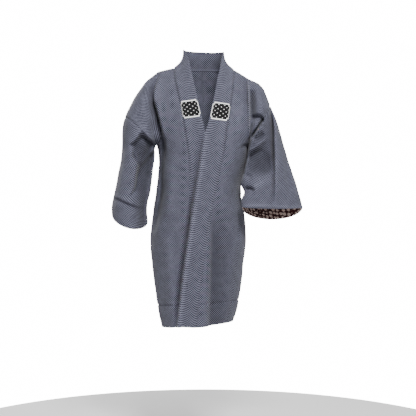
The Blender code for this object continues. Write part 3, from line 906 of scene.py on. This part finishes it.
def plain_cloth(name, code, roughness, glow=0.0):
    """A plain cloth of one dye, with the fine mottle of its fibres.

    The glow is light added to bleached cloth, so that it comes out white.
    """
    material, tree, shader = new_material(name, roughness, 0.1)
    shader.inputs["Emission Color"].default_value = hex_colour(code)
    shader.inputs["Emission Strength"].default_value = glow
    place = add_node(tree, "TexCoord").outputs["Object"]
    fibre = add_node(tree, "TexNoise", {"Vector": place, "Scale": 900.0, "Detail": 2.0})
    light = hex_colour(code)
    dark = [c * 0.94 for c in light[:3]] + [1]
    dress(tree, shader, mixed(tree, fibre.outputs[0], dark, light), fibre.outputs[0], 0.3, 0.0004)
    return material


# The cloth

add_side(RIGHT, "right", BAND_RIGHT, SIDE_RIGHT,
         ARMHOLE_FRONT_RIGHT, ARMHOLE_BACK_RIGHT, ARM_RIGHT)
add_side(LEFT, "left", BAND_LEFT, SIDE_LEFT,
         ARMHOLE_FRONT_LEFT, ARMHOLE_BACK_LEFT, ARM_LEFT)
flat_points = np.array(coat.points)
points, inward = creased(coat, flat_points, coat.normals(flat_points))
normals = coat.normals(points)


def eased(panel):
    """A panel's points, with its sewn edges rolled down into their seams."""
    grid, outward = points[panel.numbers], normals[panel.numbers]
    across, down = lengths(grid, 1), lengths(grid, 0)
    row = np.arange(len(grid))[:, None]
    if panel.piece != "front_band":
        row = NECK_ROWS + row * np.where(grid[:, :, 1].mean() > 0, -1, 1)
    dip = np.interp(row, *zip(*SEAM_DIPS))
    if panel.piece == "front_band":
        share = across / across[:, -1:]
        roll = BAND_CROWN * (1 - (2 * share - 1) ** 8)
        roll = roll - dip * np.exp(-((across / BAND_DIP_WIDTH) ** 2))
    elif panel.closed:
        from_seam = down if "sleeve" in panel.piece else down[-1:] - down
        roll = -SLEEVE_DIP * np.exp(-((from_seam / SLEEVE_DIP_WIDTH) ** 2))
    else:
        from_line = down[-1:] - down - HEM_DEPTH
        roll = -dip * np.exp(-((across / BODY_DIP_WIDTH) ** 2))
        roll = roll - HEM_DIP * np.exp(-((from_line / HEM_DIP_WIDTH) ** 2))
    return grid + outward * roll[:, :, None]


def read(grid, row, column):
    """What a grid holds at a place between its rows and columns."""
    i, j = int(row), min(int(column), grid.shape[1] - 2)
    u, t = row - i, column - j
    near = grid[i, j] * (1 - t) + grid[i, j + 1] * t
    far = grid[i + 1, j] * (1 - t) + grid[i + 1, j + 1] * t
    return near * (1 - u) + far * u


def on_band(side, rises):
    """A patch's points on the band, one set for each rise above the band's middle."""
    panel = band_panels[side]
    grid, outward = eased(panel), normals[panel.numbers]
    rows = np.arange(NECK_ROWS, len(grid))
    margin = (1 - PATCH_SHARE) / 2 * BAND_COLUMNS
    places, facings = [], []
    for down in np.linspace(-0.5, 0.5, PATCH_CELLS + 1):
        for column in np.linspace(margin, BAND_COLUMNS - margin, PATCH_CELLS + 1):
            j = min(int(column), BAND_COLUMNS - 1)
            t = column - j
            level = grid[NECK_ROWS:, j, 2] * (1 - t) + grid[NECK_ROWS:, j + 1, 2] * t
            tilt = (column / BAND_COLUMNS - 0.5) * PATCH_TILT
            height = PATCH_CENTRE[side] + tilt - down * PATCH_HEIGHT
            row = np.interp(-height, -level, rows)
            places.append(read(grid, row, column))
            facings.append(read(outward, row, column))
    shape = (PATCH_CELLS + 1, PATCH_CELLS + 1, 3)
    places, facings = np.array(places).reshape(shape), np.array(facings).reshape(shape)
    facings /= np.linalg.norm(facings, axis=2)[:, :, None]
    return [places + facings * rise for rise in rises]


def stepped(margin):
    """Cells inside a stepped square that lies a margin of cells in from the patch's edge."""
    ends = np.arange(PATCH_CELLS)
    inside = np.minimum(ends, PATCH_CELLS - 1 - ends) - margin
    far_in = inside >= STEP_CELLS - margin // 2
    return (inside[:, None] >= 0) & (inside[None, :] >= 0) & (far_in[:, None] | far_in[None, :])


def lozenges():
    """Cells of small lozenges in staggered rows."""
    place = np.arange(PATCH_CELLS) + 0.5 - PATCH_CELLS / 2
    i, j = place[:, None] / LOZENGE_PITCH, place[None, :] / LOZENGE_PITCH
    found = np.zeros((PATCH_CELLS, PATCH_CELLS), bool)
    for shift in (0, 0.5):
        away_i, away_j = abs((i + shift) % 1 - 0.5), abs((j + shift) % 1 - 0.5)
        found |= (away_i + away_j) * LOZENGE_PITCH < LOZENGE_REACH
    return found


def cut_out(piece, kept):
    """Deletes the cells of a grid piece that aren't kept."""
    choose(piece)
    bpy.ops.object.mode_set(mode="EDIT")
    bpy.ops.mesh.select_mode(type="FACE")
    bpy.ops.mesh.select_all(action="DESELECT")
    bpy.ops.object.mode_set(mode="OBJECT")
    piece.data.polygons.foreach_set("select", ~kept.ravel())
    bpy.ops.object.mode_set(mode="EDIT")
    bpy.ops.mesh.delete(type="FACE")
    bpy.ops.object.mode_set(mode="OBJECT")


cotton = checked_cotton()
lining_cotton = printed_lining()
pieces = {}
for panel in coat.panels:
    part = grid_piece(panel.piece, eased(panel), panel.measure, panel.flip,
                      inward[panel.numbers])
    pieces.setdefault(panel.piece, []).append(part)

NODES = {
    "right_body_length": ("body_right", "checked_cotton"),
    "left_body_length": ("body_left", "checked_cotton"),
    "right_sleeve_tube": ("sleeve_right", "checked_cotton"),
    "left_sleeve_tube": ("sleeve_left", "checked_cotton"),
    "front_band": ("collar", "band_cotton"),
}
for name, parts in pieces.items():
    piece = joined(name, parts)
    thickness = BAND if name == "front_band" else CLOTH
    apply(piece, "SOLIDIFY", thickness=thickness * MM, offset=0.0)
    node, slot = NODES[name]
    finished(piece, cotton, node)
    pieces[name] = piece

# The lining follows the left sleeve from inside
sleeve_panel = next(p for p in coat.panels if p.piece == "left_sleeve_tube")
inside = -(CLOTH / 2 + LAID_GAP + LINING / 2)
lining_points = eased(sleeve_panel) + normals[sleeve_panel.numbers] * inside
lining = joined("left_sleeve_lining", [
    grid_piece("left_sleeve_lining", lining_points, sleeve_panel.measure, sleeve_panel.flip)
])
apply(lining, "SOLIDIFY", thickness=LINING * MM, offset=0.0)
finished(lining, lining_cotton, "lining_left")

# The patches: pale felt, with a raised black cloth on it that shows the felt in its holes
band_panels = dict(zip((RIGHT, LEFT), [p for p in coat.panels if p.piece == "front_band"]))
pale_felt = plain_cloth("pale_felt", "#ffffff", 0.9, 0.5)
black_felt = plain_cloth("black_felt", "#08080a", 0.85)
flat_patch = np.stack(np.meshgrid(*[np.linspace(0, PATCH_HEIGHT, PATCH_CELLS + 1)] * 2), axis=2)
base_rise = BAND / 2 + LAID_GAP + PATCH / 2
inlay_rise = BAND / 2 + LAID_GAP + PATCH + INLAY / 2
patch_places = {}
for side, name in ((RIGHT, "right"), (LEFT, "left")):
    base_points, inlay_points = on_band(side, (base_rise, inlay_rise))
    patch_places[name] = base_points
    flip = side == RIGHT
    base = grid_piece(name + "_patch_felt", base_points, flat_patch, flip)
    cut_out(base, stepped(0))
    apply(base, "SOLIDIFY", thickness=PATCH * MM, offset=0.0)
    finished(base, pale_felt, "patch_" + name)
    inlay = grid_piece(name + "_patch_inlay", inlay_points, flat_patch, flip)
    cut_out(inlay, stepped(BORDER_CELLS) & ~lozenges())
    apply(inlay, "SOLIDIFY", thickness=INLAY * MM, offset=0.0)
    finished(inlay, black_felt, None)
    pieces[name + "_patch"] = base, inlay

# The stitches of the hem and round the patches

thread = plain_cloth("twisted_sewing_thread", "#14161f", 0.7)
pale_thread = plain_cloth("pale_sewing_thread", "#f4f2ee", 0.7)


def reached(line, run, at):
    """What a line holds at a running length along it."""
    return Vector([np.interp(at, run, axis) for axis in line.T])


def sewn(name, lines, pitch, length, material):
    """A row of equal stitches along lines of points, each with the cloth's facing there."""
    bpy.ops.mesh.primitive_uv_sphere_add(segments=6, ring_count=4, radius=0.5)
    model = bpy.context.object
    copies = []
    for places, facings in lines:
        run = running(places)
        for at in np.arange(pitch, run[-1] - pitch / 2, pitch):
            start = reached(places, run, at - length / 2)
            end = reached(places, run, at + length / 2)
            up = reached(facings, run, at).normalized()
            course = (end - start).normalized()
            up = (up - course * up.dot(course)).normalized()
            side = course.cross(up)
            middle = (start + end) / 2
            turn = Matrix([
                [course[i] * length * MM, side[i] * THREAD * MM, up[i] * THREAD * MM,
                 middle[i] * MM] for i in range(3)
            ] + [[0, 0, 0, 1]])
            copy = model.copy()
            copy.data = model.data.copy()
            copy.data.transform(turn)
            bpy.context.scene.collection.objects.link(copy)
            copies.append(copy)
    bpy.data.objects.remove(model)
    row = joined(name, copies)
    finished(row, material, None)
    return row


def hem_line(panel):
    """The line of points at the hem's depth on a body length, and its facings."""
    grid, outward = eased(panel), normals[panel.numbers]
    down = lengths(grid, 0)
    rows = np.arange(len(grid))
    places, facings = [], []
    for j in range(1, grid.shape[1]):
        row = np.interp(down[-1, j] - HEM_DEPTH, down[:, j], rows)
        facing = read(outward, row, j)
        places.append(read(grid, row, j) + facing * (CLOTH + THREAD) / 2)
        facings.append(facing)
    return np.array(places), np.array(facings)


def patch_line(places):
    """The stepped line just inside a patch's edge, on its points, and its facings."""
    low, step = EDGE_CELLS, STEP_CELLS + EDGE_CELLS
    quarter = [(low, step), (step, step), (step, low)]
    corners = []
    for _ in range(4):
        corners += quarter
        quarter = [(PATCH_CELLS - j, i) for i, j in quarter]
    corners.append(corners[0])
    cells = []
    for (i, j), (k, l) in zip(corners, corners[1:]):
        count = max(abs(k - i), abs(l - j), 1)
        cells += [(i + (k - i) * t // count, j + (l - j) * t // count) for t in range(count)]
    cells.append(corners[-1])
    facing = np.cross(places[-1, 0] - places[0, -1], places[-1, -1] - places[0, 0])
    facing = facing / np.linalg.norm(facing)
    facing = facing if facing[1] < 0 else -facing
    line = np.array([places[i, j] for i, j in cells]) + facing * (PATCH + THREAD) / 2
    return line, np.tile(facing, (len(line), 1))


for name in ("right", "left"):
    body = name + "_body_length"
    hems = [hem_line(p) for p in coat.panels if p.piece == body and not p.closed]
    sewn(name + "_hem_stitches", hems, HEM_PITCH, HEM_STITCH, thread)
    edge = [patch_line(patch_places[name])]
    sewn(
        name + "_patch_stitches", edge, PATCH_PITCH, PATCH_STITCH, pale_thread
    )

# Each patch's felt and its black cloth, read back from the pieces
for name in ("right_patch", "left_patch"):
    base, inlay = pieces[name]

# The floor, the light and the camera

FLOOR_RADIUS, FLOOR_HEIGHT = 1.1, -1.3
floor_material, _, floor_shader = new_material("painted_studio_floor", 0.9)
floor_shader.inputs["Base Color"].default_value = hex_colour("#f2f2f2")
bpy.ops.mesh.primitive_circle_add(vertices=96, radius=FLOOR_RADIUS, fill_type="NGON",
                                  location=(0, 0, FLOOR_HEIGHT))
floor = bpy.context.object
floor.name = "studio_floor"
floor.data.materials.append(floor_material)


def soft_light(name, place, size, power):
    """A square soft box that faces the middle of the coat."""
    light = bpy.data.lights.new(name, "AREA")
    light.size = size
    light.energy = power
    lamp = bpy.data.objects.new(name, light)
    bpy.context.scene.collection.objects.link(lamp)
    lamp.location = place
    aim = Vector((0.0, 0.0, -0.45)) - Vector(place)
    lamp.rotation_euler = aim.to_track_quat("-Z", "Y").to_euler()


soft_light("key_light", (0.6, -2.9, 2.0), 0.9, 208)
soft_light("back_light", (-1.2, 2.8, 1.2), 1.6, 110)

# The camera sees plain white behind the coat, and the cloth gets a weaker even light
world = bpy.data.worlds.new("studio_white")
bpy.context.scene.world = world
world.use_nodes = True
tree = world.node_tree
seen = tree.nodes["Background"]
seen.inputs["Color"].default_value = (1, 1, 1, 1)
seen.inputs["Strength"].default_value = 16.0
ambient = add_node(tree, "Background", {"Color": (1, 1, 1, 1), "Strength": 0.45})
ray = add_node(tree, "LightPath")
mix = add_node(tree, "MixShader",
               {0: ray.outputs["Is Camera Ray"], 1: ambient.outputs[0], 2: seen.outputs[0]})
tree.links.new(mix.outputs[0], tree.nodes["World Output"].inputs["Surface"])

# The camera looks straight at the front, where each pixel is 3.38 mm at the origin's depth
CAMERA_X, CAMERA_Z, CAMERA_DISTANCE = 0.0135, -0.4766, 3.2
PIXELS_ACROSS, PIXEL = 416, 0.00338
camera = bpy.data.cameras.new("camera")
camera.sensor_width = 36
camera.lens = camera.sensor_width * CAMERA_DISTANCE / (PIXELS_ACROSS * PIXEL)
stand = bpy.data.objects.new("camera", camera)
bpy.context.scene.collection.objects.link(stand)
stand.location = (CAMERA_X, -CAMERA_DISTANCE, CAMERA_Z)
stand.rotation_euler = (radians(90), 0, 0)
bpy.context.scene.camera = stand
